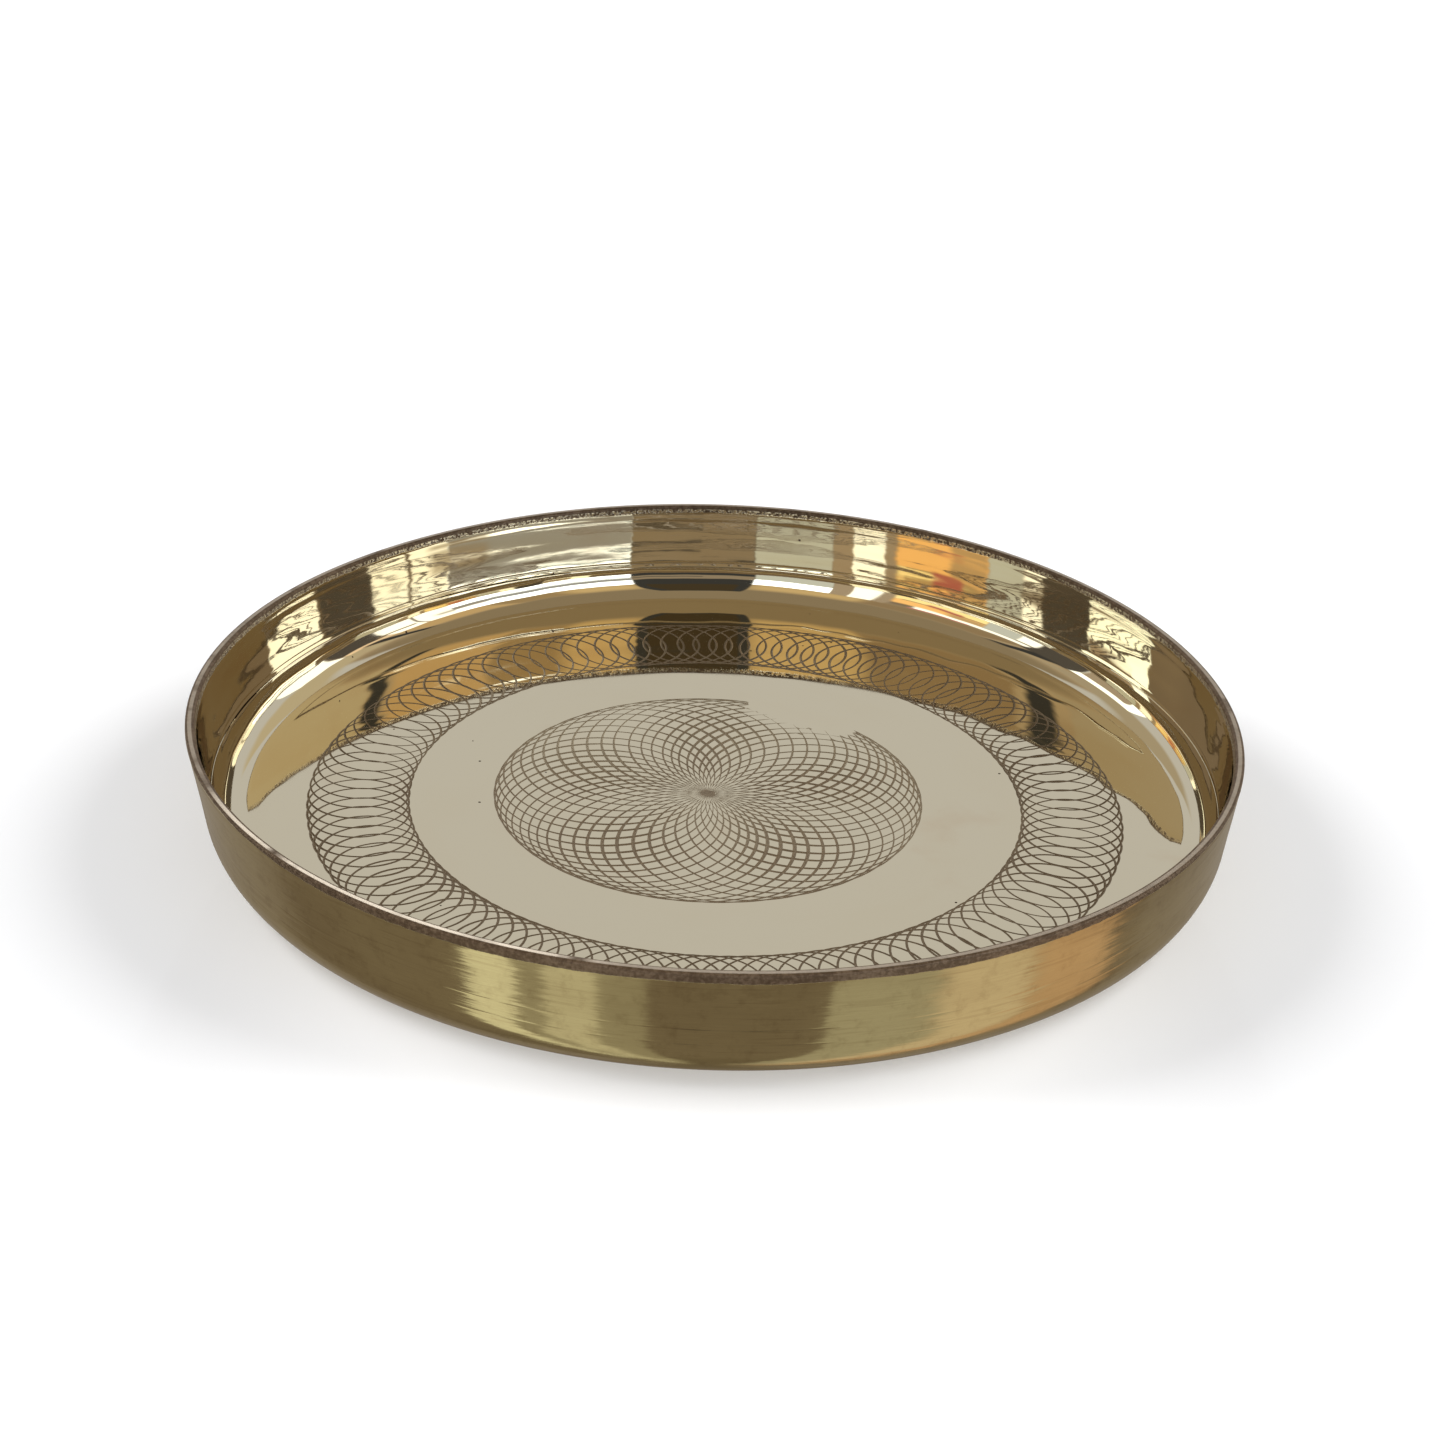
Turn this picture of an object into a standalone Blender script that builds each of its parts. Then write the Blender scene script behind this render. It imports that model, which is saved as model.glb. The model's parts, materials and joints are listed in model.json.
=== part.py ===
"""Round, straight-walled metal offering plate, turned from one thick disc.

The plate is a single body of revolution: a flat floor, a coved corner, a steep wall that
leans slightly outwards, and a plain rounded lip. Units are metres, +Z is up, and the origin is
the centre of the flat underside that the plate rests on.
"""

import math

import bmesh
import bpy

# Driving dimensions
RIM_RADIUS = 0.150
HEIGHT = 0.034
WALL_THICKNESS = 0.0027
FLOOR_THICKNESS = 0.0024
WALL_LEAN = math.radians(6.0)
OUTER_CORNER_RADIUS = 0.0120
COVE_UPPER_RADIUS = 0.0170
COVE_LOWER_RADIUS = 0.0085
COVE_TURN = math.radians(28.0)
LIP_EDGE_RADIUS = 0.0008

# The low bead left round the inside of the wall, just above the cove
BEAD_HEIGHT = 0.0141
BEAD_HALF_WIDTH = 0.0005
BEAD_RELIEF = 0.00025

# Facets
STEPS_ROUND = 128
STEPS_CORNER = 8
STEPS_COVE = 5
STEPS_LIP = 3
SEAM_MERGE = 0.00005
SMOOTH_ANGLE = math.radians(30.0)

# Finish
BRASS_COLOUR = (0.80, 0.66, 0.38, 1.0)
BRASS_ROUGHNESS = 0.18
BRASS_METALLIC = 1.0


def clear_scene():
    """Removes whatever objects the open file holds."""
    for item in list(bpy.data.objects):
        bpy.data.objects.remove(item, do_unlink=True)


def arc(centre_r, centre_z, radius, start, end, steps):
    """Points along an arc of the section, as (r, z), with both ends included."""
    points = []
    for step in range(steps + 1):
        angle = start + (end - start) * step / steps
        points.append((centre_r + radius * math.cos(angle), centre_z + radius * math.sin(angle)))
    return points


def wall_radius(rim_radius, height):
    """Radius of a leaning wall face at a height, for a face that meets the rim at rim_radius."""
    return rim_radius - (HEIGHT - height) * math.tan(WALL_LEAN)


def outer_corner():
    """Arc that runs from the underside into the leaning outer wall face above it."""
    centre_z = OUTER_CORNER_RADIUS
    centre_r = wall_radius(RIM_RADIUS, centre_z) - OUTER_CORNER_RADIUS / math.cos(WALL_LEAN)
    return arc(centre_r, centre_z, OUTER_CORNER_RADIUS, -math.pi / 2, -WALL_LEAN, STEPS_CORNER)


def cove(rim_radius):
    """The inside's corner, floor to wall: a tight arc that opens into a wide one part of the way up."""
    tight_rise = COVE_LOWER_RADIUS * (1.0 - math.sin(COVE_TURN))
    wide_rise = COVE_UPPER_RADIUS * (math.sin(COVE_TURN) - math.sin(WALL_LEAN))
    top = FLOOR_THICKNESS + tight_rise + wide_rise
    wide_r = wall_radius(rim_radius, top) - COVE_UPPER_RADIUS * math.cos(WALL_LEAN)
    wide_z = top + COVE_UPPER_RADIUS * math.sin(WALL_LEAN)
    tight_r = wide_r + (COVE_UPPER_RADIUS - COVE_LOWER_RADIUS) * math.cos(COVE_TURN)
    tight_z = wide_z - (COVE_UPPER_RADIUS - COVE_LOWER_RADIUS) * math.sin(COVE_TURN)
    tight = arc(tight_r, tight_z, COVE_LOWER_RADIUS, -math.pi / 2, -COVE_TURN, STEPS_COVE)
    wide = arc(wide_r, wide_z, COVE_UPPER_RADIUS, -COVE_TURN, -WALL_LEAN, STEPS_COVE)
    return tight + wide[1:]


def bead(rim_radius):
    """The low bead on the inner wall face, from its lower edge to its upper edge."""
    return [
        (wall_radius(rim_radius, BEAD_HEIGHT - BEAD_HALF_WIDTH), BEAD_HEIGHT - BEAD_HALF_WIDTH),
        (wall_radius(rim_radius, BEAD_HEIGHT) - BEAD_RELIEF, BEAD_HEIGHT),
        (wall_radius(rim_radius, BEAD_HEIGHT + BEAD_HALF_WIDTH), BEAD_HEIGHT + BEAD_HALF_WIDTH),
    ]


def lip(inner_rim_radius):
    """The rounded top of the wall, from its inner face over to its outer face."""
    centre_z = HEIGHT - LIP_EDGE_RADIUS
    inner_r = inner_rim_radius + LIP_EDGE_RADIUS
    outer_r = RIM_RADIUS - LIP_EDGE_RADIUS
    inner = arc(inner_r, centre_z, LIP_EDGE_RADIUS, math.pi, math.pi / 2, STEPS_LIP)
    outer = arc(outer_r, centre_z, LIP_EDGE_RADIUS, math.pi / 2, 0.0, STEPS_LIP)
    return inner + outer


def plate_section():
    """Half section of the plate: middle of the floor, over the lip, middle of the underside."""
    inner_rim_radius = RIM_RADIUS - WALL_THICKNESS
    points = [(0.0, FLOOR_THICKNESS)]
    points += cove(inner_rim_radius)
    points += bead(inner_rim_radius)
    points += lip(inner_rim_radius)
    points += reversed(outer_corner())
    points.append((0.0, 0.0))
    return points


def section_mesh(name, points):
    """A mesh of the open section line in the XZ plane."""
    mesh = bpy.data.meshes.new(name)
    form = bmesh.new()
    corners = [form.verts.new((radius, 0.0, height)) for radius, height in points]
    for first, second in zip(corners, corners[1:]):
        form.edges.new((first, second))
    form.to_mesh(mesh)
    form.free()
    return mesh


def brass(name):
    """Pale polished brass."""
    material = bpy.data.materials.new(name)
    material.use_nodes = True
    shader = material.node_tree.nodes["Principled BSDF"]
    shader.inputs["Base Color"].default_value = BRASS_COLOUR
    shader.inputs["Roughness"].default_value = BRASS_ROUGHNESS
    shader.inputs["Metallic"].default_value = BRASS_METALLIC
    return material


def turn(item):
    """Turns the section a full round about Z into one closed body."""
    screw = item.modifiers.new("turning", "SCREW")
    screw.axis = "Z"
    screw.angle = 2.0 * math.pi
    screw.steps = STEPS_ROUND
    screw.render_steps = STEPS_ROUND
    screw.use_merge_vertices = True
    screw.merge_threshold = SEAM_MERGE
    screw.use_normal_calculate = False
    screw.use_smooth_shade = True


def shade_round(item):
    """Smooth shading, with the crisp turned edges kept, on the finished body."""
    graph = bpy.context.evaluated_depsgraph_get()
    finished = bpy.data.meshes.new_from_object(item.evaluated_get(graph))
    item.modifiers.clear()
    item.data = finished
    finished.shade_smooth()
    finished.set_sharp_from_angle(angle=SMOOTH_ANGLE)


def make_plate_body():
    """The whole plate."""
    plate = bpy.data.objects.new("plate_body", section_mesh("plate_body", plate_section()))
    bpy.context.scene.collection.objects.link(plate)
    plate.data.materials.append(brass("plate_brass"))
    turn(plate)
    shade_round(plate)
    return plate


clear_scene()
make_plate_body()
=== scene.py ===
"""Looks of the offering plate: one turned brass body, its engraved floor, and a plain studio.

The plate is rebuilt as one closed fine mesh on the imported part's own outline. The floor's pattern
of overlapping circles is cut into that mesh as real V-shaped grooves. Units are metres, +Z is up.
"""

import json
import math

import bpy
import numpy as np
from mathutils import Matrix, Vector, noise
from mathutils.geometry import delaunay_2d_cdt


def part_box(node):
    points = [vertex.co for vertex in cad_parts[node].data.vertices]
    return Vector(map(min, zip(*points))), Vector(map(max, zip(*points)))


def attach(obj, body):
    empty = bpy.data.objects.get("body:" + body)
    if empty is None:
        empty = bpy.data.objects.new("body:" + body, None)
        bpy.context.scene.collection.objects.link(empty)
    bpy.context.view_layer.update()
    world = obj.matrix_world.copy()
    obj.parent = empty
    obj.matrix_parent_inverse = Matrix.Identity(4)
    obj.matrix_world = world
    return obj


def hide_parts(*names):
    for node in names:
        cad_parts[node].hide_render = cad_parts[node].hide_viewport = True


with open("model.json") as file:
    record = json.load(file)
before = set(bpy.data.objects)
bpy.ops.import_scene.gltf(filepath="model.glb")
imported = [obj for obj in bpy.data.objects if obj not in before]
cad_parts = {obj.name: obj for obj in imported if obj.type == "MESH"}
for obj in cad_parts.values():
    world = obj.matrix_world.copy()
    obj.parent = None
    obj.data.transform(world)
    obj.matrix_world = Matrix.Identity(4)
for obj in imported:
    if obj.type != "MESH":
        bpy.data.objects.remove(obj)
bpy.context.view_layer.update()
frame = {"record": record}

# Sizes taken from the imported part
NODE = "plate_body"
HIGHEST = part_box(NODE)[1]
RIM = HIGHEST.x
HEIGHT = HIGHEST.z
MOUNTS = {mount["name"]: mount for mount in frame["record"]["mounts"]}
FLOOR = MOUNTS["well_floor"]["pos_m"][2]

# Section of the plate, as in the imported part
WALL = 0.0027
LEAN = math.radians(6.0)
OUTER_CORNER = 0.0120
COVE_UPPER = 0.0170
COVE_LOWER = 0.0085
COVE_TURN = math.radians(28.0)
LIP_EDGE = 0.0008
EDGE_HEIGHT = HEIGHT - LIP_EDGE

# What turning leaves on the walls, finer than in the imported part: a low bead and a shallow hollow
# inside, two faint lines outside
BEAD_HEIGHT = 0.0141
BEAD_BELOW = 0.00110
BEAD_ABOVE = 0.00042
BEAD_RELIEF = 0.00005
HOLLOW_HEIGHT = HEIGHT - 0.0044
HOLLOW_WIDTH = 0.0011
HOLLOW_DEPTH = 0.000030
OUTER_LINE_HEIGHTS = (0.0130, 0.0175)
OUTER_LINE_WIDTH = 0.00025
OUTER_LINE_RELIEF = 0.00003

# Points along the section
ROUND_STEPS = 360
FLOOR_STEPS = 4
TIGHT_STEPS = 10
WIDE_STEPS = 8
WALL_STEPS = 18
TOP_STEPS = 3
LIP_STEPS = 5
OUTSIDE_STEPS = 8
LOW_STEPS = 3
CORNER_STEPS = 12
UNDER_STEPS = 6

# How far hand turning and polishing leave the faces from true, as the section goes round
BEAD_DRIFT = 0.00034
BEAD_RIPPLE = 0.00012
WALL_DRIFT = 0.00005
COVE_DRIFT = 0.00003
FACE_RIPPLE = 0.000012
OUTSIDE_DRIFT = 0.00006

# How far the wall is out of round at the rim, as shares of the radius, and the directions of it
BEND_POWER = 1.5
OVAL = 0.0045
OVAL_TURN = math.radians(-8.0)
THREE_LOBES = 0.0045
THREE_LOBES_TURN = math.radians(-42.0)
PULLED_OUT = 0.004
PULLED_OUT_TURN = math.radians(195.0)
PUSHED_IN = 0.004
PUSHED_IN_TURN = math.radians(132.0)
PUSHED_IN_SPREAD = math.radians(24.0)

# Engraving: the outer band's circles, the rosette's circles and the blank eye at its middle
RING_COUNT = 118
RING_MEAN = 0.696 * RIM
RING_CIRCLE = 0.0975 * RIM
RING_STEPS = 52
RING_HALF_WIDTH = 0.00045
RING_WANDER = 0.004
ROSETTE_COUNT = 48
ROSETTE_CIRCLE = 0.2094 * RIM
ROSETTE_STEPS = 100
ROSETTE_HALF_WIDTH = 0.00050
ROSETTE_SHIFT = Vector((-0.0153 * RIM, 0.0035 * RIM))
EYE_RADIUS = 0.0022
ENGRAVED_RADIUS = 0.825 * RIM

# Unevenness of the hand work, and the cut itself: below FLAT_SHARE of its depth it stays flat
SPACING_DRIFT = 0.55
SPACING_SLIP = 0.16
FIRMNESS = 0.82
FIRMNESS_SLOW = 0.42
FIRMNESS_FINE = 0.20
LIGHTEST_CUT = 0.35
THINNEST_GROOVE = 0.00006
GROOVE_SLOPE = 0.45
FLAT_SHARE = 0.15
SAME_POINT = 1e-7

# How the cut's strength changes over the rosette, with five lobes half way out
FIRM_SHARE = 0.62
FIRM_SPREAD = 0.30
LOBE_COUNT = 5
LOBE_TURN = math.radians(85.0)
EYE_FADE = 0.25
CUT_LIGHT = 0.42
CUT_FIRM = 0.20
CUT_LOBES = 0.55
CUT_UNEVEN = 0.3
CUT_USUAL = 0.8

# Where the rosette's edge is worn away, in shares of its radius
WORN_DIRECTION = math.radians(62.0)
WORN_SPREAD = math.radians(18.0)
WORN_FROM = 0.72
WORN_TO = 1.1
WORN_FADE = 0.12
WORN_CURVE = 0.9
WORN_RAGGED = 0.04
WORN_TEETH = 0.05
WORN_THINNING = 0.8

# The mesh's own record of where each point is along the section, and its three materials
LIP_DISTANCE = "from_lip"
SAME_HEIGHT = 1e-6
INSIDE, OUTSIDE, GROOVES = 0, 1, 2


# ---------------------------------------------------------------- shape helpers

def smooth_noise(x, y, z=0.0):
    """Smooth noise between about -1 and 1, the same on every run."""
    return noise.noise(Vector((x, y, z)))


def arc(centre_r, centre_z, radius, start, end, steps):
    """Points along an arc of the section, both ends included."""
    angles = np.linspace(start, end, steps + 1)
    return [(centre_r + radius * math.cos(a), centre_z + radius * math.sin(a)) for a in angles]


def wall_radius(rim_radius, height):
    """Radius at a height of a leaning wall face that meets the rim plane at rim_radius."""
    return rim_radius - (HEIGHT - height) * math.tan(LEAN)


def outer_corner():
    """Arc from the underside into the leaning outer wall above it."""
    centre_r = wall_radius(RIM, OUTER_CORNER) - OUTER_CORNER / math.cos(LEAN)
    return arc(centre_r, OUTER_CORNER, OUTER_CORNER, -math.pi / 2, -LEAN, CORNER_STEPS)


def cove_section(rim_radius):
    """The inside's cove, floor to wall: a tight arc that opens into a wide one."""
    tight_rise = COVE_LOWER * (1 - math.sin(COVE_TURN))
    wide_rise = COVE_UPPER * (math.sin(COVE_TURN) - math.sin(LEAN))
    top = FLOOR + tight_rise + wide_rise
    inward = np.array([-math.cos(LEAN), math.sin(LEAN)])
    wide_centre = np.array([wall_radius(rim_radius, top), top]) + COVE_UPPER * inward
    turn = np.array([-math.cos(COVE_TURN), math.sin(COVE_TURN)])
    tight_centre = wide_centre - (COVE_UPPER - COVE_LOWER) * turn
    tight = arc(*tight_centre, COVE_LOWER, -math.pi / 2, -COVE_TURN, TIGHT_STEPS)
    wide = arc(*wide_centre, COVE_UPPER, -COVE_TURN, -LEAN, WIDE_STEPS)
    return tight + wide[1:]


def raised_line(rim_radius, height, below, above, relief):
    """A small ridge turned on a leaning wall face, with its own reach below and above its top.

    A relief below zero turns a hollow instead."""
    points = []
    for share in (-1.5, -1.0, -0.5, 0.0, 0.5, 1.0, 1.5):
        z = height + share * (below if share < 0 else above)
        lift = relief * math.exp(-2.5 * share * share)
        points.append((wall_radius(rim_radius, z) - lift, z))
    return points


def spaced(first, last, steps):
    """Points on a straight stretch of the section, both ends left out."""
    shares = np.linspace(0.0, 1.0, steps + 1)[1:-1]
    return [tuple(np.array(first) + (np.array(last) - np.array(first)) * s) for s in shares]


# ---------------------------------------------------------------- engraving

class Engraving:
    """The lines for the triangulation, and the circles that they were drawn from."""

    def __init__(self):
        self.points = []
        self.edges = []
        self.circles = []

    def line(self, points, closed):
        """Adds a polyline as constraint edges and returns the index of its first point."""
        first = len(self.points)
        self.points.extend(points)
        count = len(points)
        for i in range(count if closed else count - 1):
            self.edges.append((first + i, first + (i + 1) % count))
        return first

    def groove(self, centre, radius, angles, half_width, closed):
        """Adds one engraved circle: its two edges and the bottom of the V between them."""
        self.circles.append((centre.x, centre.y, radius))
        for side in (-1, 0, 1):
            points = []
            for angle in angles:
                direction = Vector((math.cos(angle), math.sin(angle)))
                reach = radius + side * half_width(centre + direction * radius)
                points.append(centre + direction * reach)
            self.line(points, closed)


def hand_spacing(index, count, seed):
    """Angle of one circle: even spacing with the slow drift and small slips of hand work."""
    share = index / count
    drift = SPACING_DRIFT * math.sin(2 * math.pi * (2 * share + 0.13 * seed)) / count
    slip = SPACING_SLIP * smooth_noise(index * 0.71, seed * 3.7) / count
    return 2 * math.pi * (share + drift + slip)


def cut_strength(point):
    """How firmly the tool cut at a point of the floor, from LIGHTEST_CUT to 1."""
    slow = smooth_noise(point.x * 24.0, point.y * 24.0, 3.1)
    fine = smooth_noise(point.x * 90.0, point.y * 90.0, 7.7)
    return min(1.0, max(LIGHTEST_CUT, FIRMNESS + FIRMNESS_SLOW * slow + FIRMNESS_FINE * fine))


def ring_half_width(point):
    """Half the groove's width in the outer band."""
    return max(THINNEST_GROOVE, RING_HALF_WIDTH * cut_strength(point))


def place_in_rosette(point):
    """How far out a point is, as a share of the rosette's radius, and its direction from the eye."""
    offset = point - ROSETTE_SHIFT
    return offset.length / (2 * ROSETTE_CIRCLE), math.atan2(offset.y, offset.x)


def rosette_half_width(point):
    """Half the groove's width in the rosette: firmest half way out, fine near the eye and where worn."""
    share, turn = place_in_rosette(point)
    firm = math.exp(-((share - FIRM_SHARE) / FIRM_SPREAD) ** 2)
    lobes = 0.5 + 0.5 * math.cos(LOBE_COUNT * turn - LOBE_TURN)
    strength = CUT_LIGHT + firm * (CUT_FIRM + CUT_LOBES * lobes)
    strength += CUT_UNEVEN * (cut_strength(point) - CUT_USUAL)
    strength *= min(1.0, share / EYE_FADE) * (1 - WORN_THINNING * wear(point))
    return max(THINNEST_GROOVE, ROSETTE_HALF_WIDTH * strength)


def wear(point):
    """How far polishing has taken the rosette's edge away: 0 not at all, 1 all of it."""
    share, turn = place_in_rosette(point)
    away = turn - WORN_DIRECTION
    if abs(away) > WORN_SPREAD or share > WORN_TO:
        return 0.0
    edge = WORN_FROM + WORN_CURVE * away ** 2
    edge += WORN_RAGGED * smooth_noise(turn * 14.0, 2.0) + WORN_TEETH * smooth_noise(turn * 60.0, 5.0)
    return min(1.0, max(0.0, (share - edge) / WORN_FADE))


def lay_out_engraving():
    """The outer band of overlapping circles, and the rosette with the blank eye at its middle."""
    drawing = Engraving()
    for k in range(RING_COUNT):
        angle = hand_spacing(k, RING_COUNT, 1)
        centre = Vector((math.cos(angle), math.sin(angle))) * RING_MEAN
        radius = RING_CIRCLE * (1 + RING_WANDER * smooth_noise(k * 0.3, 9.0))
        angles = [angle + 2 * math.pi * i / RING_STEPS for i in range(RING_STEPS)]
        drawing.groove(centre, radius, angles, ring_half_width, True)
    half_gap = 2 * math.asin(EYE_RADIUS / 2 / ROSETTE_CIRCLE)
    for k in range(ROSETTE_COUNT):
        angle = hand_spacing(k, ROSETTE_COUNT, 2)
        centre = ROSETTE_SHIFT + Vector((math.cos(angle), math.sin(angle))) * ROSETTE_CIRCLE
        start = angle + math.pi + half_gap
        sweep = 2 * math.pi - 2 * half_gap
        angles = [start + sweep * i / ROSETTE_STEPS for i in range(ROSETTE_STEPS + 1)]
        drawing.groove(centre, ROSETTE_CIRCLE, angles, rosette_half_width, False)
    return drawing


def circle_points(centre, radius, steps):
    """Points evenly round a circle."""
    angles = [2 * math.pi * i / steps for i in range(steps)]
    return [centre + Vector((math.cos(a), math.sin(a))) * radius for a in angles]


def groove_depths(points, drawing):
    """Depth below the floor of every point, from the deepest groove that passes through it."""
    places = [Vector(p) for p in points]
    ring_width = np.array([ring_half_width(p) for p in places])
    rosette_width = np.array([rosette_half_width(p) for p in places])
    xy = np.array(points)
    depth = np.zeros(len(xy))
    for index, (x, y, radius) in enumerate(drawing.circles):
        width = ring_width if index < RING_COUNT else rosette_width
        distance = np.abs(np.hypot(xy[:, 0] - x, xy[:, 1] - y) - radius)
        share = 1 - distance / width
        share[share < FLAT_SHARE] = 0
        depth = np.maximum(depth, share * width * GROOVE_SLOPE)
    depth[[wear(p) == 1 for p in places]] = 0
    return depth


def engraved_floor():
    """The floor's engraved middle: points, triangles, which triangles are cut, and its rim's points."""
    drawing = lay_out_engraving()
    rim = drawing.line(circle_points(Vector((0, 0)), ENGRAVED_RADIUS, ROUND_STEPS), True)
    flat, _, faces, sources, _, _ = delaunay_2d_cdt(drawing.points, drawing.edges, [], 1, SAME_POINT)
    depth = groove_depths(flat, drawing)
    points = [(p.x, p.y, FLOOR - d) for p, d in zip(flat, depth)]
    place_of = {}
    for place, origin in enumerate(sources):
        for source in origin:
            place_of[source] = place
    rim_places = [place_of[rim + i] for i in range(ROUND_STEPS)]
    triangles = [upward(face, points) for face in faces]
    cut = [any(depth[i] > 0 for i in face) for face in triangles]
    return points, triangles, cut, rim_places


def upward(face, points):
    """The triangle with its corners in the order that makes it face up."""
    a, b, c = (Vector(points[i][:2]) for i in face)
    return tuple(face) if (b - a).cross(c - a) > 0 else tuple(reversed(face))


# ---------------------------------------------------------------- turned body

def zoned(zone, points):
    """Section points with their zone, as (radius, height, zone).

    The zone picks the finish and how far the hand work wanders there."""
    return [(radius, height, zone) for radius, height in points]


def inside_section(inner_rim):
    """From the engraved floor's edge through the cove and up the inner wall."""
    cove = cove_section(inner_rim)
    bead = raised_line(inner_rim, BEAD_HEIGHT, BEAD_BELOW, BEAD_ABOVE, BEAD_RELIEF)
    hollow = raised_line(inner_rim, HOLLOW_HEIGHT, HOLLOW_WIDTH, HOLLOW_WIDTH, -HOLLOW_DEPTH)
    line = zoned("floor", spaced((ENGRAVED_RADIUS, FLOOR), cove[0], FLOOR_STEPS))
    line += zoned("cove", cove)
    line += zoned("bead", bead)
    line += zoned("wall", spaced(bead[-1], hollow[0], WALL_STEPS) + hollow)
    line += zoned("wall", spaced(hollow[-1], (inner_rim, EDGE_HEIGHT), TOP_STEPS))
    return line


def lip_section(inner_rim):
    """The rounded lip, from the inner wall over to the outer wall."""
    inner = arc(inner_rim + LIP_EDGE, EDGE_HEIGHT, LIP_EDGE, math.pi, math.pi / 2, LIP_STEPS)
    outer = arc(RIM - LIP_EDGE, EDGE_HEIGHT, LIP_EDGE, math.pi / 2, 0.0, LIP_STEPS)
    return zoned("lip", inner + outer)


def outside_section():
    """Down the outer wall with its turned lines, round the bottom corner and in under the plate."""
    low_corner = list(reversed(outer_corner()))
    line = []
    start = (RIM, EDGE_HEIGHT)
    for height in reversed(OUTER_LINE_HEIGHTS):
        turned = raised_line(RIM, height, OUTER_LINE_WIDTH, OUTER_LINE_WIDTH, OUTER_LINE_RELIEF)
        turned.reverse()
        line += zoned("outside", spaced(start, turned[0], OUTSIDE_STEPS) + turned)
        start = turned[-1]
    line += zoned("outside", spaced(start, low_corner[0], LOW_STEPS) + low_corner)
    line += zoned("under", spaced(low_corner[-1], (0.0, 0.0), UNDER_STEPS))
    return line


def section():
    """The fine section from the engraved floor's edge to the underside's middle."""
    inner_rim = RIM - WALL
    return inside_section(inner_rim) + lip_section(inner_rim) + outside_section()


def distances_from_lip(outline):
    """Distance along the section from the middle of the lip's top to each point: negative inside."""
    places = np.array([(radius, height) for radius, height, _ in outline])
    steps = np.hypot(*np.diff(places, axis=0).T)
    travel = np.concatenate(([0.0], np.cumsum(steps)))
    top = np.flatnonzero(places[:, 1] > HEIGHT - SAME_HEIGHT)
    middle = (travel[top[0]] + travel[top[-1]]) / 2
    return (travel - middle).tolist()


def wander(radius, height, zone, angle):
    """The small unevenness that hand turning and polishing leave, as a shifted (radius, height)."""
    across, along = math.cos(angle), math.sin(angle)
    if zone == "bead":
        height += BEAD_DRIFT * smooth_noise(across * 3.1, along * 3.1, 1.0)
        height += BEAD_RIPPLE * smooth_noise(across * 11.0, along * 11.0, 2.0)
    if zone in ("wall", "bead", "cove"):
        strength = WALL_DRIFT if zone == "wall" else COVE_DRIFT
        radius += strength * smooth_noise(across * 2.2, along * 2.2, height * 210.0)
        radius += FACE_RIPPLE * smooth_noise(across * 9.0, along * 9.0, height * 520.0)
    if zone == "outside":
        radius -= OUTSIDE_DRIFT * (0.5 + 0.5 * smooth_noise(across * 3.0, along * 3.0, height * 150.0))
    return radius, height


def bent(angle, height):
    """How far the wall stands in or out of true round at this height, as a factor of the radius."""
    rise = (height / HEIGHT) ** BEND_POWER
    two_lobes = OVAL * math.cos(2 * (angle - OVAL_TURN))
    three_lobes = THREE_LOBES * math.cos(3 * (angle - THREE_LOBES_TURN))
    left = PULLED_OUT * math.cos(angle - PULLED_OUT_TURN)
    flat = -PUSHED_IN * math.exp(-((angle - PUSHED_IN_TURN) / PUSHED_IN_SPREAD) ** 2)
    return 1 + rise * (two_lobes + three_lobes + left + flat)


def turned_ring(radius, height, zone):
    """The points of one ring of the turned body."""
    ring = []
    for i in range(ROUND_STEPS):
        angle = 2 * math.pi * i / ROUND_STEPS
        r, z = wander(radius, height, zone, angle)
        r *= bent(angle, z)
        ring.append((r * math.cos(angle), r * math.sin(angle), z))
    return ring


def add_turned_body(points, faces, finish, lip_distance, edge):
    """Adds what lies beyond the engraved floor's edge, ring by ring, and closes the underside."""
    outline = section()
    for (radius, height, zone), from_lip in zip(outline, distances_from_lip(outline)):
        ring = range(len(points), len(points) + ROUND_STEPS)
        points.extend(turned_ring(radius, height, zone))
        lip_distance.extend([from_lip] * ROUND_STEPS)
        finish.extend([OUTSIDE if zone in ("outside", "under") else INSIDE] * ROUND_STEPS)
        for i in range(ROUND_STEPS):
            j = (i + 1) % ROUND_STEPS
            faces.append((edge[i], ring[i], ring[j], edge[j]))
        edge = ring
    middle = len(points)
    points.append((0.0, 0.0, 0.0))
    lip_distance.append(RIM)
    finish.extend([OUTSIDE] * ROUND_STEPS)
    for i in range(ROUND_STEPS):
        faces.append((edge[i], middle, edge[(i + 1) % ROUND_STEPS]))


def make_plate():
    """The whole plate as one closed mesh."""
    points, faces, cut, edge = engraved_floor()
    finish = [GROOVES if is_cut else INSIDE for is_cut in cut]
    smooth = [False] * len(faces)
    lip_distance = [-RIM] * len(points)
    add_turned_body(points, faces, finish, lip_distance, edge)
    smooth += [True] * (len(faces) - len(smooth))
    mesh = bpy.data.meshes.new("plate")
    mesh.from_pydata(points, [], faces)
    for material in (inside_brass(), outside_brass(), groove_brass()):
        mesh.materials.append(material)
    mesh.polygons.foreach_set("material_index", finish)
    mesh.polygons.foreach_set("use_smooth", smooth)
    mesh.attributes.new(LIP_DISTANCE, "FLOAT", "POINT").data.foreach_set("value", lip_distance)
    mesh.update()
    plate = bpy.data.objects.new("plate", mesh)
    bpy.context.scene.collection.objects.link(plate)
    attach(plate, "root")
    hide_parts(NODE)
    return plate


# ---------------------------------------------------------------- material helpers

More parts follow.
